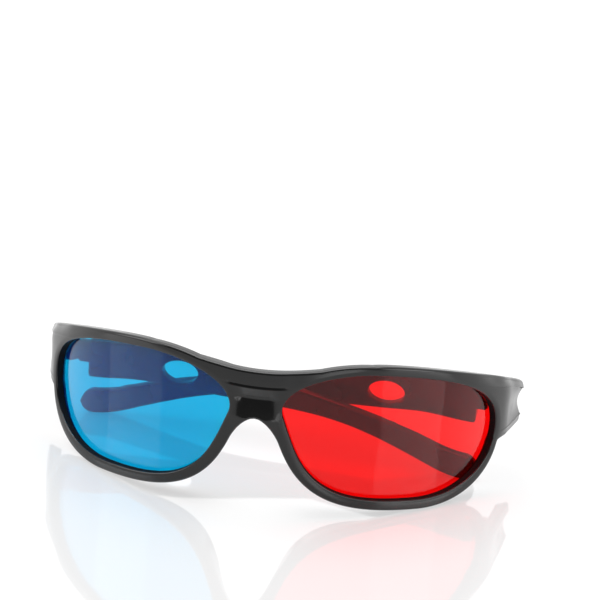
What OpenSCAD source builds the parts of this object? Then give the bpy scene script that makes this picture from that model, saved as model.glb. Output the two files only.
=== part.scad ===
// Wraparound viewing glasses with one blue and one red lens, folded and standing on a table.
// The front faces -Y, +X is on the right of someone who looks at the front, and +Z is up.
// The table is Z = 0, and the origin is under the middle of the folded glasses.
// The front is laid out flat as arc length u from the middle plane and height z, then wrapped.

/* [Lens opening] */
// Arc length from the middle plane to the centre of each lens opening
lens_out = 39.1; // [38:0.1:44]
// Reach of the opening from its centre toward the nose
open_nose = 31.5; // [28:0.1:32]
// Reach of the opening from its centre toward the temple
open_temple = 38.6; // [34:0.1:40]
// Reach of the opening upward from its centre
open_top = 15.9; // [13:0.1:18]
// Reach of the opening downward from its centre
open_bottom = 23.7; // [20:0.1:27]
// Fall of the opening toward the temple, per millimetre
open_fall = 0.09; // [0:0.01:0.12]
// Lean of the opening toward the nose, per millimetre of height
open_lean = 0.37; // [0.25:0.01:0.42]

/* [Rim] */
// Width of the rim around the opening
rim_w = 3.1; // [2.4:0.1:4]
// Width of the rim along the brow
brow_w = 2.6; // [2.2:0.1:3.5]
// Width of the rim at the temple side
side_w = 2.1; // [1.8:0.1:4]
// Width of the rim at the nose side
nose_w = 3.9; // [3:0.1:4.4]
// Depth of the rim from front to back
rim_t = 3.6; // [3.4:0.1:4.6]
// Swell of the rim's front face
rim_crown = 0.6; // [0:0.1:1]
// Inset of the rim's back edge from its front edge
back_in = 1.2; // [0:0.1:1.5]

/* [Lenses] */
// Thickness of a lens
lens_t = 0.9; // [0.7:0.1:1.1]
// Depth of a lens behind the rim's front edge
lens_set = 2; // [1.4:0.1:2.2]
// How far a lens reaches into its groove
lens_grip = 0.9; // [0.5:0.1:1.2]
// Clearance of a lens in its groove
lens_gap = 0.1; // [0.05:0.01:0.2]
// How far the lip behind a lens stays back from the opening's edge
lip_in = 0.6; // [0:0.1:0.6]

/* [Wrap] */
// Radius of the wrap across the lenses
wrap_r = 74; // [70:1:90]
// Radius of the tighter bend before the end pieces
end_r = 20; // [16:1:30]
// Angle at which the end pieces run back from the bend, in degrees
end_angle = 78; // [75:0.5:84]
// Forward lean of the front, in degrees
front_lean = 3.2; // [0:0.1:8]

/* [Bridge] */
// Dip of the brow line at the middle
brow_dip = 2.6; // [0:0.1:5]
// Height of the bridge at the middle, from the arch to the brow
bridge_h = 14; // [10:0.1:16]
// Radius of the arch under the bridge
arch_r = 3.4; // [2.5:0.1:5]
// How far the nose rests stand out behind the rim
nose_rest = 4.5; // [2:0.1:7]

/* [End pieces] */
// Arc length from the opening to the back end of an end piece
end_reach = 23.8; // [22:0.1:28]
// Height of an end piece at its back end
end_h = 13.1; // [12.8:0.1:14]
// Depth of the hollow in an end piece's outer face
scoop = 1.2; // [0:0.1:1.4]
// Fall of the brow line from its highest point to the back end
brow_drop = 19.4; // [17:0.1:21]

/* [Hinges] */
// Arc length from the back end of an end piece forward to the hinge axis
hinge_back = 6.4; // [5.2:0.1:7]
// Depth of the hinge axis inside the outer face
hinge_in = 5.2; // [5:0.1:6]
// Height of the tongue
tongue_h = 2.4; // [2:0.1:2.8]
// Height of the upper lug
upper_lug_h = 1.9; // [1.7:0.1:2.1]
// Height of the lower lug
lower_lug_h = 1.9; // [1.7:0.1:2.1]
// Radius of the lugs and of the tongue's round end
knuckle_r = 2.8; // [2.4:0.1:3]
// Clearance between moving faces
play = 0.3; // [0.25:0.01:0.4]
// Radius of the hinge screw
screw_r = 0.7; // [0.6:0.05:0.9]
// Radial clearance of the tongue on the screw
screw_play = 0.05; // [0.02:0.01:0.08]
// Radius of the screw's head
head_r = 1.35; // [1.2:0.05:1.6]
// Height of the screw's head
head_h = 0.8; // [0.6:0.1:1]

/* [Temples] */
// Length of a temple from the hinge axis to its tip
temple_l = 125; // [115:1:131]
// Thickness of a temple
temple_t = 3.6; // [3:0.1:4.5]
// Height of a temple at its root
root_h = 12; // [9:0.1:12.4]
// Height of a temple at its slot
arm_h = 11.6; // [10.5:0.1:13]
// Height of a temple at its narrowest
waist_h = 5.8; // [5:0.1:7]
// Height of a temple's paddle near the tip
tip_h = 7.6; // [7:0.1:9]
// Droop of a temple's middle line over its length, until its paddle rests on the table
droop = 18; // [14:0.1:19.5]
// Lift of a temple's middle line halfway between its slot and its tip
arm_lift = 1.1; // [0:0.1:1.6]
// Inward curve of a temple at its tip
tip_curve = 6.5; // [2:0.5:9]
// Distance from the hinge axis to the middle of the slot
slot_d = 33.5; // [30:0.5:42]
// Length of the slot
slot_l = 11; // [6:0.1:16]
// Height of the slot
slot_h = 7; // [4:0.1:7.2]
// Drop of the slot below a temple's middle line
slot_drop = 0.5; // [0:0.1:1.2]
// Angle by which the folded right temple stops short of straight across
right_short = 2.5; // [2:0.5:4]
// Angle by which the folded left temple passes straight across
left_past = 4.5; // [4:0.5:6]

/* [Hidden] */
$fn = 48;

// Distance from the front of the bridge back to the origin
origin_back = 30.9;

// Reaches of the opening and widths of the rim: toward the temple, top, nose and bottom
opening = [open_temple, open_top, open_nose, open_bottom];
rim_widths = [side_w, brow_w, nose_w, rim_w];
// Fullness of the opening's and of the rim's corners: temple top, nose top, nose bottom, temple bottom
fullness = [2.17, 1.78, 3.9, 1.9];
rim_fullness = [2.17, 1.78, 3.9, 1.86];
// Height of the openings' centre, which puts the rims' lowest points on the table
lens_up = norm([open_bottom + rim_w, open_fall * (open_temple + rim_w)]);
// Highest point of the brow line
crest_u = lens_out - open_lean * open_top;
crest_z = lens_up + open_top + brow_w;
bridge_top_z = crest_z - brow_dip;
arch_z = bridge_top_z - bridge_h;
// Height of the arch's rounded part, below which the rims bound the nose gap
arch_round_h = 7.8;
// Arc lengths at the start of the tighter wrap and at the back end
turn_u = lens_out + open_temple + rim_w;
end_u = lens_out + open_temple + end_reach;
brow_power = 1.51;
end_top_z = crest_z - brow_drop;
end_low_z = end_top_z - end_h;
// Rise of an end piece's lower edge toward the rim, per millimetre
end_rise = 0.08;

// Angular steps of the sections around an opening and beside the arch, the angle beside the arch,
// a margin when angles are compared, and shares across a section's width
step = 6;
arch_step = 2;
arch_turn = 24;
tiny = 0.001;
shares = [0, 0.2, 0.4, 0.6, 0.8, 1];
groove_front = lens_set;
groove_back = lens_set + lens_t + 2 * lens_gap;
groove_depth = lens_grip + lens_gap;

hinge_u = end_u - hinge_back;
turn_angle = turn_u / wrap_r * 180 / PI;
// Arc length at which an end piece starts to run straight
straight_u = turn_u + end_r * (end_angle - turn_angle) * PI / 180;

function bend(u) =
    u <= turn_u ? u / wrap_r * 180 / PI
        : min(end_angle, turn_angle + (u - turn_u) / end_r * 180 / PI);
// Point of the wrapped front at arc length u, height z and n outside the front surface
function wrap(u, z, n) =
    let (
        a = bend(u),
        wide = min(a, turn_angle),
        run = max(0, u - straight_u),
        x = wrap_r * sin(wide) + end_r * (sin(a) - sin(wide)) + run * cos(end_angle),
        y = wrap_r * (1 - cos(wide)) + end_r * (cos(wide) - cos(a)) + run * sin(end_angle),
        upright = max(0, min(1, (u - turn_u) / (hinge_u - turn_u))),
        lean = -tan(front_lean) * (z - lens_up) * (1 - upright)
    )
    [x + n * sin(a), y - n * cos(a) + lean - origin_back, z];

// Direction of the ray at angle f from the opening's centre, along the opening's slanted axes
function ray(f) = [cos(f) - open_lean * sin(f), sin(f) - open_fall * cos(f)];
function on_ray(f, r) = [lens_out, lens_up] + r * ray(f);
// Angle of the ray through a point
function ray_angle(p) =
    let (
        du = p[0] - lens_out,
        dz = p[1] - lens_up,
        k = 1 - open_lean * open_fall
    )
    atan2((dz + open_fall * du) / k, (du + open_lean * dz) / k);
// Reach along a ray of an oval from its reaches toward the temple, top, nose and bottom
function oval_reach(f, reach, full) =
    let (
        c = cos(f),
        s = sin(f),
        a = c > 0 ? reach[0] : reach[2],
        b = s > 0 ? reach[1] : reach[3],
        n = full[c > 0 ? (s > 0 ? 0 : 3) : (s > 0 ? 1 : 2)]
    )
    pow(pow(abs(c) / a, n) + pow(abs(s) / b, n), -1 / n);
function open_reach(f) = oval_reach(f, opening, fullness);
function rim_reach(f) = oval_reach(f, opening + rim_widths, rim_fullness);

// Heights of the brow line, of the arch and of an end piece's lower edge
function brow(u) =
    u < crest_u
        ? crest_z - brow_dip * (1 + cos(180 * u / crest_u)) / 2
        : crest_z - brow_drop * pow((u - crest_u) / (end_u - crest_u), brow_power);
function arch(u) = arch_z - min(u * u / (2 * arch_r), arch_round_h);
function end_low(u) = end_low_z + end_rise * (end_u - u);
function in_front(p) =
    let (u = p[0], z = p[1])
    u < crest_u ? u >= 0 && z <= brow(u) && z >= arch(u) : u <= end_u && z <= brow(u) && z >= end_low(u);
// Reach of the front's outer edge along a ray: the rim, or the bridge or end piece beyond it
function edge_reach(f, lo, hi, turns = 30) =
    turns == 0 ? lo
        : let (mid = (lo + hi) / 2) in_front(on_ray(f, mid)) ? edge_reach(f, mid, hi, turns - 1)
        : edge_reach(f, lo, mid, turns - 1);

// Angles of the rays through the bridge's top and bottom and through an end piece's corners
bridge_top_f = ray_angle([0, bridge_top_z]);
arch_f = ray_angle([0, arch_z]) + (ray_angle([0, arch_z]) < 0 ? 360 : 0);
end_top_f = ray_angle([end_u, end_top_z]);
end_low_f = ray_angle([end_u, end_low_z]);
// Angles between two corners, at about a given step, without the second corner
function between(a, b, by = step) =
    let (count = max(1, round((b - a) / by)))
    [for (i = [0:count - 1]) a + (b - a) * i / count];
angles = concat(
    between(end_low_f, end_top_f),
    between(end_top_f, bridge_top_f),
    between(bridge_top_f, arch_f),
    between(arch_f, arch_f + arch_turn, arch_step),
    between(arch_f + arch_turn, end_low_f + 360)
);
function in_bridge(f) = f >= bridge_top_f - tiny && f <= arch_f + tiny;
function outer_point(f) =
    in_bridge(f)
        ? [0, on_ray(f, -lens_out / ray(f)[0])[1]]
        : on_ray(f, edge_reach(f, rim_reach(f), 2 * end_u));
// Outer edge of the back face, inset from the front's except along the arch
function back_point(f, inner, outer) =
    in_bridge(f)
        ? [0, min(outer[1], bridge_top_z - back_in)]
        : outer - (outer - inner) / norm(outer - inner) * back_in;

// Depth of the nose rests along the rim: full beside the nose gap and none elsewhere
rest_from = arch_f;
rest_to = 240;
function rest_share(f) =
    let (g = f < end_low_f + tiny ? f + 360 : f)
    g <= rest_from || g >= rest_to ? 0 : sin(180 * (g - rest_from) / (rest_to - rest_from));
// Share of the hollow on the rays through an end piece, growing toward its back end
scoop_power = 2;
function scoop_share(f, u) =
    f >= end_top_f || f <= end_low_f || u <= turn_u ? 0
        : sin(180 * (f - end_low_f) / (end_top_f - end_low_f)) * pow((u - turn_u) / (end_u - turn_u), scoop_power);
// Section of the front on one ray: front face outward, back face inward, then the lens groove
function section(f) =
    let (
        inner = on_ray(f, open_reach(f)),
        outer = outer_point(f),
        across = outer - inner,
        way = across / norm(across),
        lip = inner + way * lip_in,
        across_back = back_point(f, inner, outer) - lip,
        in_groove = inner + way * groove_depth
    )
    concat(
        [for (s = shares)
            let (p = inner + s * across, hump = in_bridge(f) ? s * (2 - s) : 4 * s * (1 - s))
            wrap(p[0], p[1], rim_crown * hump - scoop * scoop_share(f, p[0]))],
        [for (i = [len(shares) - 1:-1:0])
            let (s = shares[i], p = lip + s * across_back)
            wrap(p[0], p[1], -rim_t - nose_rest * rest_share(f) * s)],
        [
            wrap(lip[0], lip[1], -groove_back),
            wrap(in_groove[0], in_groove[1], -groove_back),
            wrap(in_groove[0], in_groove[1], -groove_front),
            wrap(inner[0], inner[1], -groove_front)
        ]
    );
function mirrored(points) = [for (p = points) [-p[0], p[1], p[2]]];
function joined(lists) = [for (l = lists) for (v = l) v];

// One closed surface for both halves, which share their points on the middle plane
module front_shell() {
    half = joined([for (f = angles) section(f)]);
    rows = len(angles);
    per = len(half) / rows;
    last_front = len(shares) - 1;
    first_back = len(shares);
    bridge_row = [for (f = angles) in_bridge(f)];
    function on_middle(i, j) = bridge_row[i] && (j == last_front || j == first_back);
    function right(i, j) = (i % rows) * per + j % per;
    function left(i, j) =
        on_middle(i % rows, j % per) ? right(i, j) : rows * per + right(i, j);
    function open_side(i, j) = j == last_front && bridge_row[i] && bridge_row[(i + 1) % rows];
    cells = [for (i = [0:rows - 1]) for (j = [0:per - 1]) if (!open_side(i, j)) [i, j]];
    faces = joined([for (c = cells)
        let (i = c[0], j = c[1])
        [
            [right(i, j), right(i + 1, j), right(i + 1, j + 1)],
            [right(i, j), right(i + 1, j + 1), right(i, j + 1)],
            [left(i, j), left(i + 1, j + 1), left(i + 1, j)],
            [left(i, j), left(i, j + 1), left(i + 1, j + 1)]
        ]]);
    polyhedron(points = concat(half, mirrored(half)), faces = faces, convexity = 10);
}

// Curved lens on the right side, filling its opening and its groove
module lens_shell() {
    rings = [0.3, 0.6, 0.85, 1];
    rows = len(angles);
    function ring(t, n) = [for (f = angles)
        let (p = on_ray(f, t * (open_reach(f) + lens_grip / norm(ray(f)))))
        wrap(p[0], p[1], n)];
    n_front = -lens_set - lens_gap;
    n_back = n_front - lens_t;
    count = len(rings);
    points = concat(
        joined([for (t = rings) ring(t, n_front)]),
        joined([for (i = [count - 1:-1:0]) ring(rings[i], n_back)]),
        [wrap(lens_out, lens_up, n_front), wrap(lens_out, lens_up, n_back)]
    );
    middle_front = 2 * count * rows;
    middle_back = middle_front + 1;
    last = 2 * count - 1;
    function at(k, i) = k * rows + i % rows;
    faces = concat(
        [for (i = [0:rows - 1]) [middle_front, at(0, i + 1), at(0, i)]],
        [for (i = [0:rows - 1]) [middle_back, at(last, i), at(last, i + 1)]],
        joined([for (k = [0:last - 1]) for (i = [0:rows - 1])
            [
                [at(k, i), at(k + 1, i + 1), at(k + 1, i)],
                [at(k, i), at(k, i + 1), at(k + 1, i + 1)]
            ]])
    );
    polyhedron(points = points, faces = faces, convexity = 6);
}

// Hinge axis of the right side, and the heights of its parts
hinge_xy = wrap(hinge_u, lens_up, -hinge_in);
lug_rise = 5.1;
lower_lug_z = end_low_z + lug_rise;
tongue_z = lower_lug_z + lower_lug_h + play;
upper_lug_z = tongue_z + tongue_h + play;
hinge_top_z = upper_lug_z + upper_lug_h;
screw_floor = 0.5;
screw_end_z = lower_lug_z + screw_floor;
thread_gap = 0.02;
// Wall left between a lug's web and the outer face
web_wall = 1.5;
// Overrun of the cuts
over = 1;

module at_hinge(z = 0) {
    translate([hinge_xy[0], hinge_xy[1], z]) children();
}
// One lug: a round boss and the web that joins it to the end piece
module lug(z, h) {
    at_hinge(z) cylinder(r = knuckle_r, h = h);
    at_hinge(z) translate([0, -knuckle_r, 0]) cube([hinge_in - web_wall, 2 * knuckle_r, h]);
}
module hinge_lugs() {
    lug(lower_lug_z, lower_lug_h);
    lug(upper_lug_z, upper_lug_h);
}
// Room for the tongue between the lugs, and the holes for the screw
module hinge_cuts() {
    at_hinge(tongue_z - play) cylinder(r = knuckle_r + play, h = tongue_h + 2 * play);
    at_hinge(screw_end_z - play) cylinder(r = screw_r + thread_gap, h = lower_lug_h + over);
    at_hinge(upper_lug_z - over) cylinder(r = screw_r + screw_play, h = upper_lug_h + 2 * over);
    at_hinge(hinge_top_z - head_h) cylinder(r = head_r + screw_play, h = head_h + over);
}
module both_sides() {
    children();
    mirror([1, 0, 0]) children();
}

module front_frame() {
    color("#2b2b2d") difference() {
        union() {
            front_shell();
            both_sides() hinge_lugs();
        }
        both_sides() hinge_cuts();
    }
}
module red_lens() {
    color("#f23a33", 0.6) lens_shell();
}
module blue_lens() {
    color("#1fa9da", 0.6) mirror([1, 0, 0]) lens_shell();
}

// Slotted cheese-head screw
module hinge_screw() {
    slot_w = 0.35;
    slot_deep = 0.4;
    difference() {
        union() {
            at_hinge(screw_end_z) cylinder(r = screw_r, h = hinge_top_z - head_h / 2 - screw_end_z);
            at_hinge(hinge_top_z - head_h) cylinder(r = head_r, h = head_h);
        }
        at_hinge(hinge_top_z - slot_deep)
            translate([-2 * head_r, -slot_w / 2, 0]) cube([4 * head_r, slot_w, slot_deep + over]);
    }
}
module right_hinge_screw() {
    color("silver") hinge_screw();
}
module left_hinge_screw() {
    color("silver") mirror([1, 0, 0]) hinge_screw();
}

// Temple in its open position: d runs back from the hinge axis, w outward, z up.
root_drop = 2.3;
temple_z = tongue_z + tongue_h / 2 - root_drop;
// Root face, just behind the end piece when the temple is open
shoulder_gap = 0.3;
end_y = max(wrap(end_u, lens_up, 0)[1], wrap(end_u, lens_up, -rim_t)[1]);
root_d = end_y - hinge_xy[1] + shoulder_gap;
// Outer face of a temple, flush with the swell of the end piece's outer face
outer_w = hinge_in + rim_crown;
tip_r = tip_h / 2;
droop_power = 2.1;
tip_start = temple_l - tip_r;
// Inner face at the root, and the distances at which the arm's form changes
root_w = -1.6;
thin_from = 18;
waist_from = 30;
waist_at = 84;
paddle_at = 116;
curve_from = 55;
lift_from = 52;

function ease(t) = let (c = max(0, min(1, t))) c * c * (3 - 2 * c);
// Height of the middle line above its resting height, eased to nothing where the paddle lies down
rest_soft = 1.4;
function settle(v) =
    v >= rest_soft ? v : v <= -rest_soft ? 0 : pow(v + rest_soft, 2) / (4 * rest_soft);
function lift(d) =
    d <= lift_from ? 0 : arm_lift * pow(sin(180 * (d - lift_from) / (temple_l - lift_from)), 2);
function middle_z(d) =
    tip_r + settle(temple_z - droop * pow(d / temple_l, droop_power) + lift(d) - tip_r);
// Share of the height left by the round of the tip
tip_flat = 0.2;
function round_off(d) =
    d <= tip_start ? 1 : sqrt(max(tip_flat * tip_flat, 1 - pow((d - tip_start) / tip_r, 2)));
function height(d) =
    round_off(d) * (root_h + (arm_h - root_h) * ease((d - root_d) / (slot_d - root_d))
        + (waist_h - arm_h) * ease((d - waist_from) / (waist_at - waist_from))
        + (tip_h - waist_h) * ease((d - waist_at) / (paddle_at - waist_at)));
function inward(d) = tip_curve * pow(max(0, d - curve_from) / (temple_l - curve_from), 2);
function inner_w(d) =
    outer_w - temple_t + (root_w - outer_w + temple_t) * (1 - ease((d - root_d) / thin_from));
// Section of a temple with bevelled corners
edge_soft = 0.9;
corners = 8;
function temple_section(d) =
    let (
        soft = edge_soft * round_off(d),
        h = height(d) / 2,
        z = middle_z(d),
        a = inner_w(d) - inward(d),
        b = outer_w - inward(d)
    )
    [
        [a + soft, d, z - h], [b - soft, d, z - h], [b, d, z - h + soft], [b, d, z + h - soft],
        [b - soft, d, z + h], [a + soft, d, z + h], [a, d, z + h - soft], [a, d, z - h + soft]
    ];
// Distances of the sections, closer together around the tip
arm_sections = 22;
tip_sections = 9;
stations = concat(
    [for (i = [0:arm_sections - 1]) root_d + (tip_start - root_d) * i / arm_sections],
    [for (i = [0:tip_sections]) tip_start + tip_r * sin(90 * i / tip_sections)]
);
module temple_arm() {
    rows = len(stations);
    points = joined([for (d = stations) temple_section(d)]);
    function at(i, j) = i * corners + j % corners;
    sides = joined([for (i = [0:rows - 2]) for (j = [0:corners - 1])
        [
            [at(i, j), at(i + 1, j + 1), at(i + 1, j)],
            [at(i, j), at(i, j + 1), at(i + 1, j + 1)]
        ]]);
    ends = [[for (j = [corners - 1:-1:0]) j], [for (j = [0:corners - 1]) at(rows - 1, j)]];
    polyhedron(points = points, faces = concat(sides, ends), convexity = 6);
}
// Round end on the screw, the neck behind it and the shoulder that is as high as the lugs
module tongue() {
    neck_in = 2.4;
    neck_w = 2.8;
    past_lug = knuckle_r + play;
    shoulder_h = temple_z + root_h / 2 - edge_soft / 2 - lower_lug_z;
    translate([0, 0, tongue_z]) cylinder(r = knuckle_r, h = tongue_h);
    translate([-neck_in, 0, tongue_z]) cube([neck_w, root_d + over, tongue_h]);
    translate([-neck_in, past_lug, lower_lug_z]) cube([neck_w, root_d + over - past_lug, shoulder_h]);
}
// Oval slot through the arm
module slot() {
    oval = [for (a = [0:12:348]) [slot_l / 2 * cos(a), slot_h / 2 * sin(a)]];
    translate([-outer_w, slot_d, middle_z(slot_d) - slot_drop])
        rotate([90, 0, 90]) linear_extrude(3 * outer_w) polygon(oval);
}
module temple() {
    difference() {
        union() {
            temple_arm();
            tongue();
        }
        slot();
        translate([0, 0, tongue_z - over]) cylinder(r = screw_r + screw_play, h = tongue_h + 2 * over);
    }
}
// Right temple folded across the back, short of or past straight across
module folded(turn) {
    at_hinge() rotate([0, 0, turn]) temple();
}
module right_temple() {
    color("#303032") folded(90 - right_short);
}
module left_temple() {
    color("#303032") mirror([1, 0, 0]) folded(90 + left_past);
}

front_frame();
blue_lens();
red_lens();
left_temple();
right_temple();
left_hinge_screw();
right_hinge_screw();
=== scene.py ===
"""Wraparound viewing glasses with a blue and a red lens, folded and standing on a pale table."""
from math import atan2, cos, degrees, hypot, pi, radians, sin, sqrt, tan

import bmesh
import bpy
from mathutils import Matrix, Vector


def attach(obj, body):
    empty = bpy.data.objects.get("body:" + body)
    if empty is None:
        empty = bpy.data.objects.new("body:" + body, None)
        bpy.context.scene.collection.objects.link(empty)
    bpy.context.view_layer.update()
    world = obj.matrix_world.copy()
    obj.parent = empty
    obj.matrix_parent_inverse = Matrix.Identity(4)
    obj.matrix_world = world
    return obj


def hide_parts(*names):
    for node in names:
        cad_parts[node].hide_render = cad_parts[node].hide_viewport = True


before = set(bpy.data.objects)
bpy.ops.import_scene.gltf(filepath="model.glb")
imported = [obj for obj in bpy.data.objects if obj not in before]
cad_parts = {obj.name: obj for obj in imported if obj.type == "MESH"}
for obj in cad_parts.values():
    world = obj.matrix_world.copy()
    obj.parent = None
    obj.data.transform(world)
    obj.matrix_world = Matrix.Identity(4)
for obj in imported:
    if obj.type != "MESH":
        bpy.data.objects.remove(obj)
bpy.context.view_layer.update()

# Sizes below are in millimetres, the same as the construction's; MM turns them into metres.
MM = 0.001

# Lens openings
lens_out = 39.1
open_nose = 31.5
open_temple = 38.6
open_top = 15.9
open_bottom = 23.7
open_fall = 0.09
open_lean = 0.37
# Fullness of the opening's and the rim's corners: temple top, nose top, nose bottom, temple bottom
fullness = (2.17, 1.78, 3.9, 1.9)
rim_fullness = (2.17, 1.78, 3.9, 1.86)

# Rims, lenses and wrap
rim_w = 3.1
brow_w = 2.6
side_w = 2.1
nose_w = 3.9
rim_t = 3.6
back_in = 1.2
lens_t = 0.9
lens_set = 2.0
lens_grip = 0.9
lens_gap = 0.1
lip_in = 0.6
wrap_r = 74
end_r = 20
end_angle = radians(78)
front_lean = 3.2
origin_back = 30.9

# Bridge, brow and end pieces
brow_dip = 2.6
bridge_h = 14.0
arch_r = 3.4
arch_round_h = 7.8
nose_rest = 4.5
rest_to = 240
end_reach = 23.8
end_h = 13.1
brow_drop = 19.4
brow_power = 1.51
end_rise = 0.08

# Hinges
hinge_back = 6.4
hinge_in = 5.2
lug_rise = 5.1
lower_lug_h = 1.9
tongue_h = 2.4
upper_lug_h = 1.9
play = 0.3
knuckle_r = 2.8
screw_r = 0.7
screw_play = 0.05
head_r = 1.35
head_h = 0.8
web_wall = 1.5
neck_in = 2.4
neck_w = 2.8

# Temples
temple_l = 125
temple_t = 3.6
root_h = 12.0
arm_h = 11.6
waist_h = 5.8
tip_h = 7.6
droop = 18
droop_power = 2.1
arm_lift = 1.1
lift_from = 52
rest_soft = 1.4
root_drop = 2.3
shoulder_gap = 0.3
rim_crown = 0.6
root_w = -1.6
thin_from = 18
waist_from = 30
waist_at = 84
paddle_at = 116
curve_from = 55
tip_curve = 6.5
slot_d = 33.5
slot_l = 11
slot_h = 7
slot_drop = 0.5
right_short = 2.5
left_past = 4.5

# Form of the mouldings: rounded edges and a slight crown
edge_r = 0.8
inner_r = 0.35
back_r = 0.6
lip_bevel = 0.9
# Most of a narrow rim's width that an edge's rounding and the bevel behind the lens may take
edge_share = 0.4
lip_share = 0.6
# Most of the edge's rounding and of the rest of a narrow rim that the back edge may lie in
inset_shares = (0.5, 0.2)
# Along the brow the back edge lies less far in, by this share, and the bevel behind the lens fades;
# each change runs between two values of the upward part of the outline's outward direction
brow_share = 0.8
brow_turn = (0.5, 0.9)
bevel_turn = (0.1, 0.5)
corner_r = 1.4
crown = 0.35
crown_in = 2.2
arm_edge_r = 1.1
# Brow band above a crease, wide over the lenses and narrow at the end pieces
band_wide = 4.1
band_narrow = 2.4
band_from = 60
facet_d = 0.5
facet_end_d = 0.9
facet_power = 1.3
# Lip that the band makes over the bridge and the end pieces
lip_bridge = 0.25
lip_end = 0.3
lip_soft = 0.15
lip_fade = (5, 11)
# Fine groove under the lip
groove_d = 0.35
groove_h = 0.75
# Broad rounding of the brow where the front bends back: depth, height, and where it comes and goes
bend_round = 1.2
bend_round_h = 5.5
bend_rise = (66, 78)
bend_fall = (88, 97)
# Dish under the lip at the bridge: depth, half widths of its floor and of its edge, the share of its
# height at which it is deepest, the softness of the turn there, and how far the arch's edge stands out
dish_d = 1.5
dish_floor = 3.4
dish_w = 8.0
dish_at = 0.37
dish_soft = 0.2
arch_out = 0.65
# Hollow, lower bevel and bead between them on the end pieces
scoop = 1.3
bevel_h = 2.6
bevel_d = 0.3
bead_d = 0.16
bead_h = 0.4

# Derived places on the front, laid out flat as arc length u and height z
lens_up = hypot(open_bottom + rim_w, open_fall * (open_temple + rim_w))
crest_u = lens_out - open_lean * open_top
crest_z = lens_up + open_top + brow_w
bridge_top_z = crest_z - brow_dip
arch_z = bridge_top_z - bridge_h
turn_u = lens_out + open_temple + rim_w
end_u = lens_out + open_temple + end_reach
end_top_z = crest_z - brow_drop
end_low_z = end_top_z - end_h
hinge_u = end_u - hinge_back
turn_angle = turn_u / wrap_r
straight_u = turn_u + end_r * (end_angle - turn_angle)


def smooth(t):
    """Eased step from 0 to 1."""
    t = max(0.0, min(1.0, t))
    return t * t * (3 - 2 * t)


def ease_between(v, limits):
    """Eased step from 0 at the first limit to 1 at the second."""
    return smooth((v - limits[0]) / (limits[1] - limits[0]))


# Front, laid out flat and wrapped
def wrap(u, z, n):
    """Point of the wrapped front at arc length u and height z, n outside the front surface."""
    a = u / wrap_r if u <= turn_u else min(end_angle, turn_angle + (u - turn_u) / end_r)
    wide = min(a, turn_angle)
    run = max(0.0, u - straight_u)
    x = wrap_r * sin(wide) + end_r * (sin(a) - sin(wide)) + run * cos(end_angle)
    y = wrap_r * (1 - cos(wide)) + end_r * (cos(wide) - cos(a)) + run * sin(end_angle)
    upright = max(0.0, min(1.0, (u - turn_u) / (hinge_u - turn_u)))
    lean = -tan(radians(front_lean)) * (z - lens_up) * (1 - upright)
    return Vector((x + n * sin(a), y - n * cos(a) + lean - origin_back, z)) * MM


def ray(f):
    """Direction of the ray at angle f from the opening's centre, along the opening's slanted axes."""
    return Vector((cos(f) - open_lean * sin(f), sin(f) - open_fall * cos(f)))


def on_ray(f, r):
    """Point on the ray at angle f, r times its direction from the centre."""
    return Vector((lens_out, lens_up)) + r * ray(f)


def ray_angle(u, z):
    """Angle of the ray through a point, from 0 to a full turn."""
    du = u - lens_out
    dz = z - lens_up
    return atan2(dz + open_fall * du, du + open_lean * dz) % (2 * pi)


def oval_reach(f, reaches, full):
    """Reach along a ray of an oval from its reaches toward the temple, top, nose and bottom."""
    c = cos(f)
    s = sin(f)
    a = reaches[0] if c > 0 else reaches[2]
    b = reaches[1] if s > 0 else reaches[3]
    corner = (0 if s > 0 else 3) if c > 0 else (1 if s > 0 else 2)
    n = full[corner]
    return ((abs(c) / a) ** n + (abs(s) / b) ** n) ** (-1 / n)


opening = (open_temple, open_top, open_nose, open_bottom)
rim_edge = (open_temple + side_w, open_top + brow_w, open_nose + nose_w, open_bottom + rim_w)


def open_reach(f):
    """Reach of the opening's edge along a ray."""
    return oval_reach(f, opening, fullness)


def brow(u):
    """Height of the front's top edge."""
    if u < crest_u:
        return crest_z - brow_dip * (1 + cos(pi * u / crest_u)) / 2
    return crest_z - brow_drop * ((u - crest_u) / (end_u - crest_u)) ** brow_power


def arch(u):
    """Height of the bridge's lower edge over the nose."""
    return arch_z - min(u * u / (2 * arch_r), arch_round_h)


def end_low(u):
    """Height of the end piece's lower edge."""
    return end_low_z + end_rise * (end_u - u)


def in_front(p):
    """Whether a flat point lies on the bridge or on the end piece with its rounded corners."""
    u, z = p
    if u < crest_u:
        return u >= 0 and arch(u) <= z <= brow(u)
    into_corner = max(0.0, u - end_u + corner_r)
    cut = corner_r - sqrt(max(0.0, corner_r ** 2 - into_corner ** 2))
    return u <= end_u and end_low(u) + cut <= z <= brow(u) - cut


BISECTIONS = 30


def outer_point(f):
    """Where a ray leaves the front: at the rim, or at the bridge or end piece beyond it."""
    lo = oval_reach(f, rim_edge, rim_fullness)
    hi = 2 * end_u
    for _ in range(BISECTIONS):
        mid = (lo + hi) / 2
        if in_front(on_ray(f, mid)):
            lo = mid
        else:
            hi = mid
    return on_ray(f, lo)


arch_f = ray_angle(0, arch_z)
bridge_top_f = ray_angle(0, bridge_top_z)
end_top_f = ray_angle(end_u, end_top_z)
end_low_f = ray_angle(end_u, end_low_z)


def rest_share(f):
    """How far the nose rest stands out at this ray: full beside the nose gap and none elsewhere."""
    g = degrees(f)
    start = degrees(arch_f)
    return sin(pi * (g - start) / (rest_to - start)) if start < g < rest_to else 0.0


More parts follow.
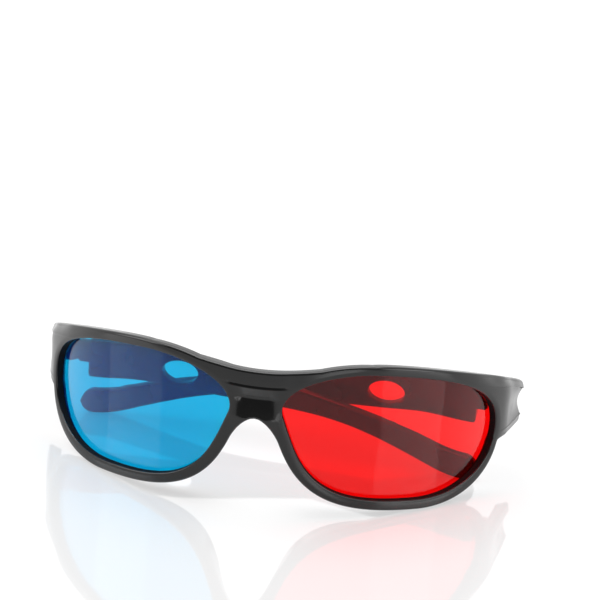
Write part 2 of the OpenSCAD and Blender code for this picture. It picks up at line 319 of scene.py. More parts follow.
def face_height(u, z, t):
    """Height of the front face above the wrapped surface, t from the opening's edge."""
    n = crown * sin(pi / 2 * min(1.0, t / crown_in))
    outward = ease_between(u, (band_from, end_u))
    band = band_wide + (band_narrow - band_wide) * outward
    below = brow(u) - z
    up_band = 1 - min(1.0, max(0.0, below / band))
    n -= (facet_d + (facet_end_d - facet_d) * outward) * up_band ** facet_power
    coming = ease_between(u, bend_rise)
    going = ease_between(u, bend_fall)
    n -= bend_round * coming * (1 - going) * max(0.0, 1 - max(0.0, below) / bend_round_h) ** 2
    at_bridge = 1 - ease_between(u, lip_fade)
    n += (lip_bridge * at_bridge + lip_end * outward) * (1 - smooth((below - band) / lip_soft))
    under = (below - band - lip_soft) / groove_h
    if under > 0:
        n -= groove_d * at_bridge * max(0.0, 1 - under)
    elif below > band:
        n -= groove_d * at_bridge * smooth((below - band) / lip_soft)
    dish_top = band + lip_soft + groove_h
    if u < dish_w and below > dish_top:
        down = min(1.0, (below - dish_top) / (bridge_top_z - dish_top - arch_z))
        fall = down / dish_at
        climb = (1 - down) / (1 - dish_at)
        turn = max(0.0, 1 - abs(fall - climb) / dish_soft)
        deep = min(fall, climb) - dish_soft * turn ** 2 / 4
        out = arch_out * max(0.0, down - dish_at) / (1 - dish_at)
        n += (out - dish_d * deep) * (1 - ease_between(u, (dish_floor, dish_w)))
    if u > turn_u - rim_w:
        into_end = (u - turn_u + rim_w) / (end_u - turn_u + rim_w)
        above = z - end_low(u)
        hollow = (below - band) / (brow(u) - end_low(u) - band - bevel_h)
        if 0 < hollow < 1:
            n -= scoop * sin(pi * hollow) * into_end ** 2
        n += bead_d * smooth(2 * into_end) * max(0.0, 1 - abs(above - bevel_h) / bead_h)
        if above < bevel_h:
            n -= bevel_d * (1 - max(0.0, above) / bevel_h) * smooth(2 * into_end)
    if t < inner_r:
        n -= inner_r - sqrt(max(0.0, inner_r ** 2 - (inner_r - t) ** 2))
    return n


# Sections of the front
FRONT_SAMPLES = 60
EDGE_SAMPLES = 7
ROUND_SAMPLES = 7
WALL_SAMPLES = 3
BACK_SAMPLES = 14
BRIDGE_ROWS = 100
ROW_STEP = radians(1.0)
FINE_STEP = radians(0.4)
END_STEP = radians(0.15)
ARCH_TURN = radians(24)


def spread(a, b, step):
    """Angles from a up to b, without b."""
    count = max(1, round((b - a) / step))
    return [a + (b - a) * i / count for i in range(count)]


def back_inset(r, reach, way):
    """How far the back edge lies inside the front edge, least along the brow."""
    share = 1 - brow_share * ease_between(way.y, brow_turn)
    narrow = inset_shares[0] * r + inset_shares[1] * reach
    return min(back_in * share, narrow) + back_r


def bridge_rows():
    """Rows across the bridge to the middle plane, from its top to its arch."""
    rows = []
    top_z = bridge_top_z - edge_r
    low_z = arch_z + edge_r
    back_top = bridge_top_z - (1 - brow_share) * back_in - back_r
    back_low = arch_z + back_in + back_r
    for i in range(BRIDGE_ROWS + 1):
        share = i / BRIDGE_ROWS
        z = top_z + (low_z - top_z) * share
        f = ray_angle(0, z)
        back = Vector((0, back_top + (back_low - back_top) * share))
        way = Vector((0, 1 if i == 0 else -1))
        rows.append({"f": f, "inner": on_ray(f, open_reach(f)), "face_end": Vector((0, z)), "way": way,
                     "r": edge_r, "back": back, "bridge": True})
    return rows


def rim_rows():
    """Rows around the rim and the end piece, each edge rounded square to the outline."""
    turn = 2 * pi
    low_f = end_low_f if end_low_f > pi else end_low_f + turn
    margin = FINE_STEP / 2
    angles = spread(arch_f + margin, arch_f + ARCH_TURN, FINE_STEP)
    angles += spread(arch_f + ARCH_TURN, low_f - FINE_STEP, ROW_STEP)
    angles += spread(low_f - FINE_STEP, end_top_f + turn, END_STEP)
    angles += spread(end_top_f + turn, bridge_top_f + turn - ARCH_TURN, ROW_STEP)
    angles += spread(bridge_top_f + turn - ARCH_TURN, bridge_top_f + turn - margin, FINE_STEP)
    outline = [outer_point(f) for f in angles]
    around = [Vector((0, arch_z))] + outline + [Vector((0, bridge_top_z))]
    rows = []
    for i, f in enumerate(angles):
        inner = on_ray(f, open_reach(f))
        outer = outline[i]
        along = around[i + 2] - around[i]
        way = Vector((along.y, -along.x)).normalized()
        if way.dot(outer - inner) < 0:
            way = -way
        r = min(edge_r, edge_share * (outer - inner).length)
        face_end = outer - way * r
        back = outer - way * back_inset(r, (face_end - inner).length, way)
        rows.append({"f": f % turn, "inner": inner, "face_end": face_end, "way": way,
                     "r": r, "back": back, "bridge": False})
    return rows


def front_section(row):
    """Closed loop of points: front face outward, edge, back face inward, then the lens groove."""
    inner, face_end, way, r = row["inner"], row["face_end"], row["way"], row["r"]
    points = []

    def add(p, n):
        points.append(wrap(p.x, p.y, n))

    reach = (face_end - inner).length
    along = (face_end - inner) / reach
    ts = [inner_r * (1 - cos(pi / 2 * i / EDGE_SAMPLES)) for i in range(EDGE_SAMPLES)]
    ts += [inner_r + (reach - inner_r) * i / FRONT_SAMPLES for i in range(FRONT_SAMPLES + 1)]
    for t in ts:
        p = inner + along * t
        add(p, face_height(p.x, p.y, t))
    n = face_height(face_end.x, face_end.y, reach)
    for i in range(1, ROUND_SAMPLES + 1):
        a = pi / 2 * i / ROUND_SAMPLES
        add(face_end + way * r * sin(a), n - r * (1 - cos(a)))
    rest = nose_rest * rest_share(row["f"])
    back_n = -rim_t - rest
    edge = face_end + way * r
    foot = row["back"] + way * back_r
    for i in range(1, WALL_SAMPLES + 1):
        share = i / WALL_SAMPLES
        add(edge + (foot - edge) * share, n - r + (back_n + back_r - n + r) * share)
    for i in range(1, ROUND_SAMPLES + 1):
        a = pi / 2 * i / ROUND_SAMPLES
        add(foot - way * back_r * (1 - cos(a)), back_n + back_r * (1 - sin(a)))
    lip = inner + along * lip_in
    bevel = lip_bevel * (1 - ease_between(way.y, bevel_turn))
    back_end = inner + along * min(lip_in + bevel, lip_share * reach)
    for i in range(1, BACK_SAMPLES + 1):
        share = i / BACK_SAMPLES
        add(row["back"] + (back_end - row["back"]) * share, -rim_t - rest * (1 - share))
    in_groove = inner + along * (lens_grip + lens_gap)
    seat = -lens_set - 2 * lens_gap - lens_t
    add(lip, seat)
    add(in_groove, seat)
    add(in_groove, -lens_set)
    add(inner, -lens_set)
    return points


def mirrored(points):
    """The same points on the other side of the middle plane."""
    return [Vector((-p.x, p.y, p.z)) for p in points]


# Mesh making: points closer than WELD metres become one
WELD = 1e-6
FAR = 1e6
TINY = 1e-6


def new_object(name, points, faces):
    """Object in the scene with a mesh of these points and faces."""
    mesh = bpy.data.meshes.new(name)
    mesh.from_pydata(points, [], faces)
    obj = bpy.data.objects.new(name, mesh)
    bpy.context.scene.collection.objects.link(obj)
    return obj


def finish_mesh(obj, sharp=38, weld=0.0):
    """Welds, points the faces outward, and shades smooth up to the sharp angle in degrees."""
    bm = bmesh.new()
    bm.from_mesh(obj.data)
    if weld:
        bmesh.ops.remove_doubles(bm, verts=bm.verts, dist=weld)
    loose = [v for v in bm.verts if not v.link_faces]
    bmesh.ops.delete(bm, geom=loose, context="VERTS")
    bmesh.ops.recalc_face_normals(bm, faces=bm.faces)
    for face in bm.faces:
        face.smooth = True
    bm.to_mesh(obj.data)
    bm.free()
    obj.data.set_sharp_from_angle(angle=radians(sharp))
    return obj


def loop_faces(rows, per, first=0, closed=False, keep=None):
    """Quads between rows of closed loops of points."""
    faces = []
    for i in range(rows if closed else rows - 1):
        for j in range(per):
            if keep is None or keep(i, j):
                a = first + i * per
                b = first + (i + 1) % rows * per
                k = (j + 1) % per
                faces.append((a + j, b + j, b + k, a + k))
    return faces


def cut_away(obj, cutter):
    """Takes the cutter's shape out of obj for good."""
    modifier = obj.modifiers.new("cut", "BOOLEAN")
    modifier.operation = "DIFFERENCE"
    modifier.solver = "MANIFOLD"
    modifier.object = cutter
    bpy.context.view_layer.update()
    shape = obj.evaluated_get(bpy.context.evaluated_depsgraph_get())
    mesh = bpy.data.meshes.new_from_object(shape)
    obj.modifiers.clear()
    obj.data = mesh
    bpy.data.objects.remove(cutter)
    return obj


def ring_solid(name, outline, profile):
    """Solid of revolution about the Z axis whose outermost points follow the outline's radius."""
    count = 96
    points = []
    for i in range(count):
        a = 2 * pi * i / count
        for r, z, rides_outline in profile:
            reach = outline(a) + r if rides_outline else r
            points.append(Vector((reach * cos(a), reach * sin(a), z)) * MM)
    return new_object(name, points, loop_faces(count, len(profile), closed=True))


def box_reach(a, box):
    """Distance from the axis to the side of a box (x low, y low, x high, y high) at angle a."""
    reach = FAR
    for size, limits in ((cos(a), (box[0], box[2])), (sin(a), (box[1], box[3]))):
        if abs(size) > TINY:
            reach = min(reach, max(limits[0] / size, limits[1] / size))
    return reach


# Hinge places
hinge_point = wrap(hinge_u, lens_up, -hinge_in) / MM
lower_lug_z = end_low_z + lug_rise
tongue_z = lower_lug_z + lower_lug_h + play
upper_lug_z = tongue_z + tongue_h + play
hinge_top_z = upper_lug_z + upper_lug_h
# Softened edges of the lugs and tongues, thin core of a cutter, and overlap of joined or cut shapes
lug_soft = 0.25
core = 0.01
over = 1.0


def at_hinge(obj, side, turn=0.0):
    """Moves points made about the Z axis to the hinge axis of one side, for good."""
    to_axis = Matrix.Translation((hinge_point.x * MM, hinge_point.y * MM, 0))
    place = to_axis @ Matrix.Rotation(turn, 4, "Z")
    if side < 0:
        place = Matrix.Scale(-1, 4, (1, 0, 0)) @ place
    obj.data.transform(place)
    return obj


# Front moulding
def front_moulding():
    """Both rims, the bridge and the end pieces as one closed mesh, cut out for the hinges."""
    rows = bridge_rows() + rim_rows()
    half = []
    for row in rows:
        half += front_section(row)
    per = len(half) // len(rows)
    wall_from = EDGE_SAMPLES + FRONT_SAMPLES
    wall_to = wall_from + 2 * ROUND_SAMPLES + WALL_SAMPLES

    def outside(i, j):
        both_in_bridge = rows[i]["bridge"] and rows[(i + 1) % len(rows)]["bridge"]
        return not (both_in_bridge and wall_from <= j < wall_to)

    faces = loop_faces(len(rows), per, closed=True, keep=outside)
    faces += [face[::-1] for face in loop_faces(len(rows), per, len(half), True, outside)]
    obj = new_object("front_moulding", half + mirrored(half), faces)
    obj.data.materials.append(frame_plastic)
    obj.data.materials.append(inner_wall)
    seen = [j for i in range(len(rows)) for j in range(per) if outside(i, j)]
    wall = per - 1
    for face, j in zip(obj.data.polygons, seen + seen):
        face.material_index = 1 if j == wall else 0
    finish_mesh(obj, weld=WELD)
    for side in (-1, 1):
        pocket = ring_solid("pocket", lambda a: 0, [
            (core, tongue_z - play, False),
            (knuckle_r + play, tongue_z - play, False),
            (knuckle_r + play, tongue_z + tongue_h + play, False),
            (head_r + screw_play, tongue_z + tongue_h + play, False),
            (head_r + screw_play, hinge_top_z + over, False),
            (core, hinge_top_z + over, False),
        ])
        cut_away(obj, finish_mesh(at_hinge(pocket, side)))
    return finish_mesh(obj)


def hinge_lug(name, side, low, high, hole, counterbore):
    """Round boss with a web into the end piece, a screw hole and softened edges."""
    web = (-core, -knuckle_r, hinge_in - web_wall, knuckle_r)
    profile = [
        (hole, low, False), (-lug_soft, low, True), (0, low + lug_soft, True),
        (0, high - lug_soft, True), (-lug_soft, high, True),
    ]
    if counterbore:
        profile += [
            (head_r + screw_play, high, False),
            (head_r + screw_play, high - head_h, False),
            (hole, high - head_h, False),
        ]
    else:
        profile.append((hole, high, False))
    lug = ring_solid(name, lambda a: max(knuckle_r, box_reach(a, web)), profile)
    return finish_mesh(at_hinge(lug, side))


# Lenses
def lens(name, side, filter_material, painted_shade_edge_material):
    """Thin curved filter that fills its opening and reaches a little into its groove."""
    rays = 180
    rings = [0.12, 0.3, 0.45, 0.6, 0.72, 0.82, 0.9, 0.96, 1.0]
    front = -lens_set - lens_gap
    back = front - lens_t
    points = []
    for share, n in [(s, front) for s in rings] + [(s, back) for s in reversed(rings)]:
        for i in range(rays):
            f = 2 * pi * i / rays
            p = on_ray(f, share * (open_reach(f) + lens_grip / ray(f).length))
            points.append(wrap(p.x, p.y, n))
    faces = loop_faces(2 * len(rings), rays)
    for first, n in ((0, front), ((2 * len(rings) - 1) * rays, back)):
        middle = len(points)
        points.append(wrap(lens_out, lens_up, n))
        faces += [(middle, first + i, first + (i + 1) % rays) for i in range(rays)]
    obj = new_object(name, points if side > 0 else mirrored(points), faces)
    obj.data.materials.append(filter_material)
    obj.data.materials.append(painted_shade_edge_material)
    # The band of faces round the rim is the cut edge: it takes the near-black edge material, painted
    # shade of the groove it sits in
    edge_from = (len(rings) - 1) * rays
    for face in obj.data.polygons:
        face.material_index = 1 if edge_from <= face.index < edge_from + rays else 0
    return finish_mesh(obj)


# Temples, first in the open position: w outward, d back from the hinge axis, z up
end_y = max(wrap(end_u, lens_up, 0).y, wrap(end_u, lens_up, -rim_t).y) / MM
root_d = end_y - hinge_point.y + shoulder_gap
temple_z = tongue_z + tongue_h / 2 - root_drop
outer_w = hinge_in + rim_crown
tip_r = tip_h / 2
tip_start = temple_l - tip_r
tip_flat = 0.12


def settle(v):
    """Height above the resting height, eased to nothing where the paddle lies on the table."""
    if abs(v) >= rest_soft:
        return max(0.0, v)
    return (v + rest_soft) ** 2 / (4 * rest_soft)


def lift(d):
    """Local raise of the arm's middle line over its outer half."""
    along = max(0.0, d - lift_from) / (temple_l - lift_from)
    return arm_lift * sin(pi * along) ** 2


def middle_z(d):
    """Height of the arm's middle line, which droops until the paddle rests."""
    return tip_r + settle(temple_z - droop * (d / temple_l) ** droop_power + lift(d) - tip_r)


def round_off(d):
    """Share of the arm's height that the rounded tip leaves."""
    if d <= tip_start:
        return 1.0
    return sqrt(max(tip_flat ** 2, 1 - ((d - tip_start) / tip_r) ** 2))


def height(d):
    """Height of the arm: root, slotted part, waist and paddle."""
    h = root_h + (arm_h - root_h) * ease_between(d, (root_d, slot_d))
    h += (waist_h - arm_h) * ease_between(d, (waist_from, waist_at))
    h += (tip_h - waist_h) * ease_between(d, (waist_at, paddle_at))
    return h * round_off(d)


def inward(d):
    """How far the arm has curved in towards the head."""
    return tip_curve * (max(0.0, d - curve_from) / (temple_l - curve_from)) ** 2


def inner_w(d):
    """Place of the arm's inner face, before it curves in."""
    thick = root_w - outer_w + temple_t
    return outer_w - temple_t + thick * (1 - smooth((d - root_d) / thin_from))


CORNER_SAMPLES = 6
# Most of an arm's thickness and half height that the rounding may take
round_share = (0.48, 0.9)


def temple_section(d, shrink=0.0):
    """Rounded rectangle across the arm."""
    low = inner_w(d) - inward(d) + shrink
    high = outer_w - inward(d) - shrink
    half = height(d) / 2 - shrink
    z = middle_z(d)
    r = min(arm_edge_r, round_share[0] * (high - low), round_share[1] * half)
    corners = ((high - r, z + half - r, 0), (low + r, z + half - r, 1),
               (low + r, z - half + r, 2), (high - r, z - half + r, 3))
    points = []
    for w, height_at, quarter in corners:
        for i in range(CORNER_SAMPLES + 1):
            a = pi / 2 * (quarter + i / CORNER_SAMPLES)
            points.append(Vector((w + r * cos(a), d, height_at + r * sin(a))) * MM)
    return points


def slot_cutter():
    """Oval through the arm, flared at both faces for a softened edge."""
    rays = 64
    flare = 0.5
    past = 2
    low = inner_w(slot_d)
    steps = (
        (low - past, flare + past), (low - core, flare), (low + flare, 0),
        (outer_w - flare, 0), (outer_w + core, flare), (outer_w + past, flare + past),
    )
    points = []
    for w, grow in steps:
        for i in range(rays):
            a = 2 * pi * i / rays
            d = slot_d + (slot_l / 2 + grow) * cos(a)
            z = middle_z(slot_d) - slot_drop + (slot_h / 2 + grow) * sin(a)
            points.append(Vector((w, d, z)) * MM)
    faces = loop_faces(len(steps), rays)
    last = (len(steps) - 1) * rays
    faces += [tuple(range(rays)), tuple(range(last, last + rays))]
    return finish_mesh(new_object("slot_cutter", points, faces))


def temple_arm(name):
    """Arm from its softened root to its rounded tip, with the slot cut through it."""
    # Each station is a distance from the hinge axis and an inset of the section there
    root_soft = 0.5
    part_way = 0.15
    part_inset = 0.2
    stations = [(root_d, root_soft), (root_d + part_way, part_inset), (root_d + root_soft, 0.0)]
    count = 80
    first = root_d + 2 * root_soft
    stations += [(first + (tip_start - first) * i / count, 0.0) for i in range(count)]
    tip_count = 14
    stations += [(tip_start + tip_r * sin(pi / 2 * i / tip_count), 0.0) for i in range(tip_count + 1)]
    points = []
    for d, shrink in stations:
        points += temple_section(d, shrink)
    per = len(points) // len(stations)
    faces = loop_faces(len(stations), per)
    last = (len(stations) - 1) * per
    faces += [tuple(range(per)), tuple(range(last, last + per))]
    obj = finish_mesh(new_object(name, points, faces))
    return finish_mesh(cut_away(obj, slot_cutter()))


def tongue(name):
    """Round tongue with the neck that carries it from the arm's root."""
    neck = (-neck_in, -core, neck_w - neck_in, root_d + over)
    low = tongue_z
    high = tongue_z + tongue_h
    hole = screw_r + screw_play
    return ring_solid(name, lambda a: max(knuckle_r, box_reach(a, neck)), [
        (hole, low, False), (-lug_soft, low, True), (0, low + lug_soft, True),
        (0, high - lug_soft, True), (-lug_soft, high, True), (hole, high, False),
    ])


def shoulder(name):
    """Block between the lugs and the arm's root, from the lower lug to the root's top."""
    soft = 0.45
    past_lug = knuckle_r + play
    top = temple_z + root_h / 2 - soft
    mesh = bmesh.new()
    bmesh.ops.create_cube(mesh, size=MM)
    size = Vector((neck_w, root_d + over - past_lug, top - lower_lug_z))
    low = Vector((-neck_in, past_lug, lower_lug_z))
    bmesh.ops.scale(mesh, vec=size, verts=mesh.verts)
    bmesh.ops.translate(mesh, vec=(low + size / 2) * MM, verts=mesh.verts)
    bmesh.ops.bevel(mesh, geom=mesh.edges[:], offset=soft * MM, segments=3, affect="EDGES")
    obj = new_object(name, [], [])
    mesh.to_mesh(obj.data)
    mesh.free()
    return obj


# Materials
def node_material(name):
    """New material with its nodes, its links and its main shader."""
    material = bpy.data.materials.new(name)
    material.use_nodes = True
    nodes = material.node_tree.nodes
    return material, nodes, material.node_tree.links, nodes["Principled BSDF"]


def noise(nodes, links, scale, detail=3.0, stretch=(1, 1, 1)):
    """Noise in object space, scale in features per metre."""
    place = nodes.new("ShaderNodeTexCoord")
    mapping = nodes.new("ShaderNodeMapping")
    mapping.inputs["Scale"].default_value = stretch
    texture = nodes.new("ShaderNodeTexNoise")
    texture.inputs["Scale"].default_value = scale
    texture.inputs["Detail"].default_value = detail
    links.new(place.outputs["Object"], mapping.inputs["Vector"])
    links.new(mapping.outputs["Vector"], texture.inputs["Vector"])
    return texture.outputs["Fac"]


# Stretch of a noise's values that most of its surface has
NOISE_LOW = 0.3
NOISE_HIGH = 0.7


def ramp(nodes, links, source, low, high):
    """Colours low to high over the middle of a noise."""
    node = nodes.new("ShaderNodeValToRGB")
    node.color_ramp.elements[0].position = NOISE_LOW
    node.color_ramp.elements[0].color = (*low, 1)
    node.color_ramp.elements[1].position = NOISE_HIGH
    node.color_ramp.elements[1].color = (*high, 1)
    links.new(source, node.inputs["Fac"])
    return node.outputs["Color"]


def spread_values(nodes, links, source, low, high):
    """Values from low to high over the middle of a noise."""
    node = nodes.new("ShaderNodeMapRange")
    node.inputs["From Min"].default_value = NOISE_LOW
    node.inputs["From Max"].default_value = NOISE_HIGH
    node.inputs["To Min"].default_value = low
    node.inputs["To Max"].default_value = high
    links.new(source, node.inputs["Value"])
    return node.outputs["Result"]


def satin_plastic(name, dark, light, gloss):
    """Black moulded plastic with a fine spark-eroded grain and faint handling marks."""
    material, nodes, links, shader = node_material(name)
    clouds = noise(nodes, links, scale=60)
    links.new(ramp(nodes, links, clouds, dark, light), shader.inputs["Base Color"])
    marks = noise(nodes, links, scale=240, detail=6)
    rough = spread_values(nodes, links, marks, low=0.13, high=0.22)
    links.new(rough, shader.inputs["Roughness"])
    shader.inputs["Specular IOR Level"].default_value = gloss
    grain_h = 0.03
    grain = noise(nodes, links, scale=5000, detail=2)
    bump = nodes.new("ShaderNodeBump")
    bump.inputs["Strength"].default_value = 0.05
    bump.inputs["Distance"].default_value = grain_h * MM
    links.new(grain, bump.inputs["Height"])
    links.new(bump.outputs["Normal"], shader.inputs["Normal"])
    return material


def filter_plastic(name, thin, thick, painted_veil_colour, painted_veil_share):
    """Clear tinted filter: glossy, with a faint unevenness of dye and of gloss, and a thin diffuse layer
    that paints a veil of reflected light over it.
    """
    material, nodes, links, shader = node_material(name)
    dye = noise(nodes, links, scale=35, detail=2)
    tint = ramp(nodes, links, dye, thin, thick)
    links.new(tint, shader.inputs["Base Color"])
    haze = noise(nodes, links, scale=90, detail=5)
    rough = spread_values(nodes, links, haze, low=0.015, high=0.04)
    links.new(rough, shader.inputs["Roughness"])
    shader.inputs["Transmission Weight"].default_value = 1.0
    shader.inputs["IOR"].default_value = 1.38
    # Diffuse layer mixed in at the veil's share: painted reflection, tinting the lens where dark things
    # lie behind it
    painted_veil_layer = nodes.new("ShaderNodeBsdfDiffuse")
    painted_veil_layer.inputs["Color"].default_value = (*painted_veil_colour, 1)
    filter_with_painted_veil = nodes.new("ShaderNodeMixShader")
    filter_with_painted_veil.inputs["Fac"].default_value = painted_veil_share
    links.new(shader.outputs["BSDF"], filter_with_painted_veil.inputs[1])
    links.new(painted_veil_layer.outputs["BSDF"], filter_with_painted_veil.inputs[2])
    clear = nodes.new("ShaderNodeBsdfTransparent")
    links.new(tint, clear.inputs["Color"])
    path = nodes.new("ShaderNodeLightPath")
    mix = nodes.new("ShaderNodeMixShader")
    links.new(path.outputs["Is Shadow Ray"], mix.inputs["Fac"])
    links.new(filter_with_painted_veil.outputs["Shader"], mix.inputs[1])
    links.new(clear.outputs["BSDF"], mix.inputs[2])
    links.new(mix.outputs["Shader"], nodes["Material Output"].inputs["Surface"])
    return material


def matt_surface(name, dark, light):
    """Matt surface, such as a filter's cut edge or the wall of an opening before its filter."""
    material, nodes, links, shader = node_material(name)
    saw_marks = noise(nodes, links, scale=1500, detail=3)
    links.new(ramp(nodes, links, saw_marks, dark, light), shader.inputs["Base Color"])
    shader.inputs["Roughness"].default_value = 0.8
    shader.inputs["Specular IOR Level"].default_value = 0.15
    return material


def turned_steel(name):
    """Plated steel with fine turning marks around the screw's axis."""
    material, nodes, links, shader = node_material(name)
    shader.inputs["Metallic"].default_value = 1.0
    rings = noise(nodes, links, scale=900, detail=4, stretch=(0.3, 0.3, 6))
    steel = ramp(nodes, links, rings, low=(0.5, 0.5, 0.51), high=(0.68, 0.68, 0.69))
    links.new(steel, shader.inputs["Base Color"])
    rough = spread_values(nodes, links, rings, low=0.2, high=0.38)
    links.new(rough, shader.inputs["Roughness"])
    return material


frame_plastic = satin_plastic(
    "satin_black_frame", dark=(0.005, 0.005, 0.0052), light=(0.008, 0.008, 0.0078), gloss=0.5)
temple_plastic = satin_plastic(
    "satin_black_temples", dark=(0.006, 0.006, 0.0062), light=(0.009, 0.009, 0.0088), gloss=0.28)
# Each filter's veil colour and share are painted reflection, standing for the reflected light that veils
# it
blue_filter = filter_plastic(
    "blue_filter", thin=(0.0008, 0.5, 0.78), thick=(0.0004, 0.46, 0.74),
    painted_veil_colour=(0.01, 0.12, 0.8), painted_veil_share=0.1)
red_filter = filter_plastic(
    "red_filter", thin=(1.0, 0.003, 0.003), thick=(0.96, 0.002, 0.002),
    painted_veil_colour=(0.6, 0.01, 0.01), painted_veil_share=0.015)
inner_wall = matt_surface("matt_black_wall", (0.004, 0.004, 0.005), (0.006, 0.006, 0.007))
# The filters' cut edges are matt, and near black as painted shade of the groove they sit in
blue_edge_painted_shade = matt_surface("blue_cut_edge_painted_shade", (0.001, 0.004, 0.012), (0.001, 0.006, 0.018))
red_edge_painted_shade = matt_surface("red_cut_edge_painted_shade", (0.012, 0.001, 0.001), (0.018, 0.001, 0.001))
screw_steel = turned_steel("screw_steel")


def dress(obj, material, body, slot, *nodes):
    """Gives a piece its material and its body, and hides the construction nodes it stands for; the slot
    is not used.
    """
    if not any(obj.data.materials):
        obj.data.materials.clear()
        obj.data.materials.append(material)
    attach(obj, body)
    if nodes:
        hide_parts(*nodes)


dress(front_moulding(), frame_plastic, "front", "frame_plastic", "front_frame")
blue_lens = lens("blue_filter_lens", -1, blue_filter, blue_edge_painted_shade)
dress(blue_lens, blue_filter, "front", "blue_filter", "blue_lens")
red_lens = lens("red_filter_lens", 1, red_filter, red_edge_painted_shade)
dress(red_lens, red_filter, "front", "red_filter", "red_lens")
folded = ((-1, "left", radians(90 + left_past)), (1, "right", radians(90 - right_short)))
for side, label, turn in folded:
    lower = hinge_lug(label + "_lower_lug", side, lower_lug_z, lower_lug_z + lower_lug_h, screw_r, False)
    upper = hinge_lug(label + "_upper_lug", side, upper_lug_z, hinge_top_z, screw_r + screw_play, True)
    dress(lower, frame_plastic, "front", "frame_plastic")
    dress(upper, frame_plastic, "front", "frame_plastic")
    arm = finish_mesh(at_hinge(temple_arm(label + "_arm"), side, turn))
    dress(arm, temple_plastic, label + "_arm", "temple_plastic", label + "_temple")
    root = finish_mesh(at_hinge(tongue(label + "_tongue"), side, turn))
    dress(root, temple_plastic, label + "_arm", "temple_plastic")
    block = finish_mesh(at_hinge(shoulder(label + "_shoulder"), side, turn))
    dress(block, temple_plastic, label + "_arm", "temple_plastic")
    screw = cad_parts[label + "_hinge_screw"]
    screw.data.materials.clear()
    screw.data.materials.append(screw_steel)


# Camera: the photograph's direction, tilt and framing
azimuth = radians(6.54)
elevation = radians(19.87)
roll = radians(4.55)
distance = 599.4
aim_ahead = 0.4
aim_z = 31.1
aim = Vector((0, -origin_back - aim_ahead, aim_z))
aim_right = 12.2
aim_up = 30.4
focal_px = 2207
image_px = 600
sensor = 36

away = Vector((sin(azimuth) * cos(elevation), -cos(azimuth) * cos(elevation), sin(elevation)))
level = Vector((cos(azimuth), sin(azimuth), 0))
right = cos(roll) * level + sin(roll) * away.cross(level)
up = away.cross(right)
camera_data = bpy.data.cameras.new("camera")
camera_data.sensor_width = sensor
camera_data.lens = focal_px / image_px * sensor
camera = bpy.data.objects.new("camera", camera_data)
bpy.context.scene.collection.objects.link(camera)
spot = (aim + aim_right * right + aim_up * up + distance * away) * MM
camera.matrix_world = Matrix((
    (right.x, up.x, away.x, spot.x),
    (right.y, up.y, away.y, spot.y),
    (right.z, up.z, away.z, spot.z),
    (0, 0, 0, 1),
))
bpy.context.scene.camera = camera


# Floor and background, white to the camera and through the lenses
def either_of(nodes, links, first, second):
    """The greater of two values."""
    node = nodes.new("ShaderNodeMath")
    node.operation = "MAXIMUM"
    links.new(first, node.inputs[0])
    links.new(second, node.inputs[1])
    return node.outputs["Value"]


def seen_directly(nodes, links, mirrored_too=False):
    """One where a ray comes from the camera, through a lens or off a gloss, and nought elsewhere."""
    path = nodes.new("ShaderNodeLightPath").outputs
    seen = either_of(nodes, links, path["Is Camera Ray"], path["Is Transmission Ray"])
    return either_of(nodes, links, seen, path["Is Glossy Ray"]) if mirrored_too else seen


floor_glow = 0.55


def floor_material():
    """Glossy pale table that looks white and still takes a shadow."""
    material, nodes, links, shader = node_material("pale_gloss_table")
    clouds = noise(nodes, links, scale=3)
    pale = ramp(nodes, links, clouds, low=(0.25, 0.25, 0.25), high=(0.27, 0.27, 0.27))
    links.new(pale, shader.inputs["Base Color"])
    shader.inputs["Roughness"].default_value = 0.045
    shader.inputs["IOR"].default_value = 1.9
    glow = nodes.new("ShaderNodeEmission")
    level_of_glow = nodes.new("ShaderNodeMath")
    level_of_glow.operation = "MULTIPLY"
    level_of_glow.inputs[1].default_value = floor_glow
    links.new(seen_directly(nodes, links, mirrored_too=True), level_of_glow.inputs[0])
    links.new(level_of_glow.outputs["Value"], glow.inputs["Strength"])
    both = nodes.new("ShaderNodeAddShader")
    links.new(shader.outputs["BSDF"], both.inputs[0])
    links.new(glow.outputs["Emission"], both.inputs[1])
    links.new(both.outputs["Shader"], nodes["Material Output"].inputs["Surface"])
    return material


floor_size = 6
half = floor_size / 2
corners = [(-half, -half, 0), (half, -half, 0), (half, half, 0), (-half, half, 0)]
floor = new_object("table", corners, [(0, 1, 2, 3)])
floor.data.materials.append(floor_material())

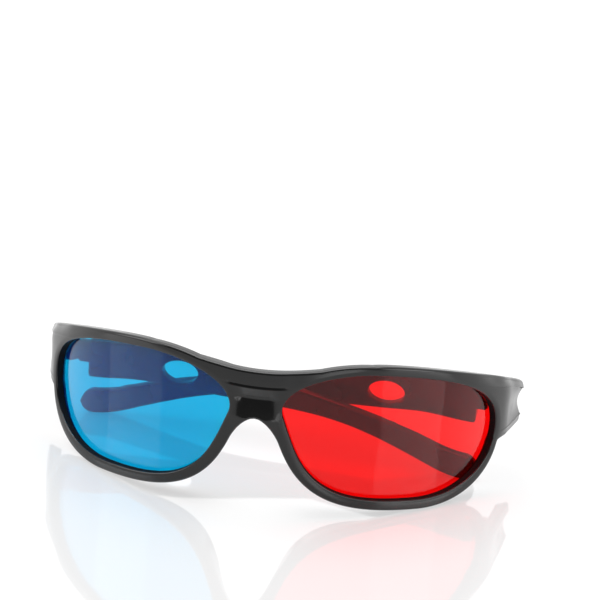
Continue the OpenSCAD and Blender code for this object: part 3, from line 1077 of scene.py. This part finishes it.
world = bpy.data.worlds.new("studio")
bpy.context.scene.world = world
world.use_nodes = True
sky_nodes = world.node_tree.nodes
sky_links = world.node_tree.links
background = sky_nodes["Background"]
background.inputs["Color"].default_value = (1, 1, 1, 1)
# The studio is dark in front of the object and pale behind it, apart from what is seen directly
front_level = 0.15
back_level = 1.1
dark_until = -0.6
pale_from = 0.4
place = sky_nodes.new("ShaderNodeTexCoord")
parts = sky_nodes.new("ShaderNodeSeparateXYZ")
sky_links.new(place.outputs["Generated"], parts.inputs["Vector"])
around = sky_nodes.new("ShaderNodeMapRange")
around.interpolation_type = "SMOOTHSTEP"
around.inputs["From Min"].default_value = dark_until
around.inputs["From Max"].default_value = pale_from
around.inputs["To Min"].default_value = front_level
around.inputs["To Max"].default_value = back_level
sky_links.new(parts.outputs["Y"], around.inputs["Value"])
level_of = sky_nodes.new("ShaderNodeMapRange")
level_of.inputs["To Max"].default_value = 1.0
sky_links.new(around.outputs["Result"], level_of.inputs["To Min"])
sky_links.new(seen_directly(sky_nodes, sky_links), level_of.inputs["Value"])
sky_links.new(level_of.outputs["Result"], background.inputs["Strength"])


def softbox(name, place, target, size, power):
    """Rectangular studio lamp aimed at a point."""
    data = bpy.data.lights.new(name, "AREA")
    data.shape = "RECTANGLE"
    data.size, data.size_y = size
    data.energy = power
    lamp = bpy.data.objects.new(name, data)
    bpy.context.scene.collection.objects.link(lamp)
    lamp.visible_camera = False
    lamp.location = place
    lamp.rotation_euler = (Vector(target) - Vector(place)).to_track_quat("-Z", "Y").to_euler()
    return lamp


middle = (0, 0, 0.02)
softbox("top_box", (-0.1, 0.15, 0.9), middle, size=(0.9, 0.7), power=7)
softbox("left_box", (-0.8, -0.25, 0.45), middle, size=(0.5, 0.6), power=3)
softbox("right_box", (0.8, -0.3, 0.3), middle, size=(0.5, 0.5), power=2.5)
softbox("low_box", (0.38, -0.71, 0.15), middle, size=(0.3, 0.2), power=0.7)

bpy.context.scene.view_settings.view_transform = "Standard"
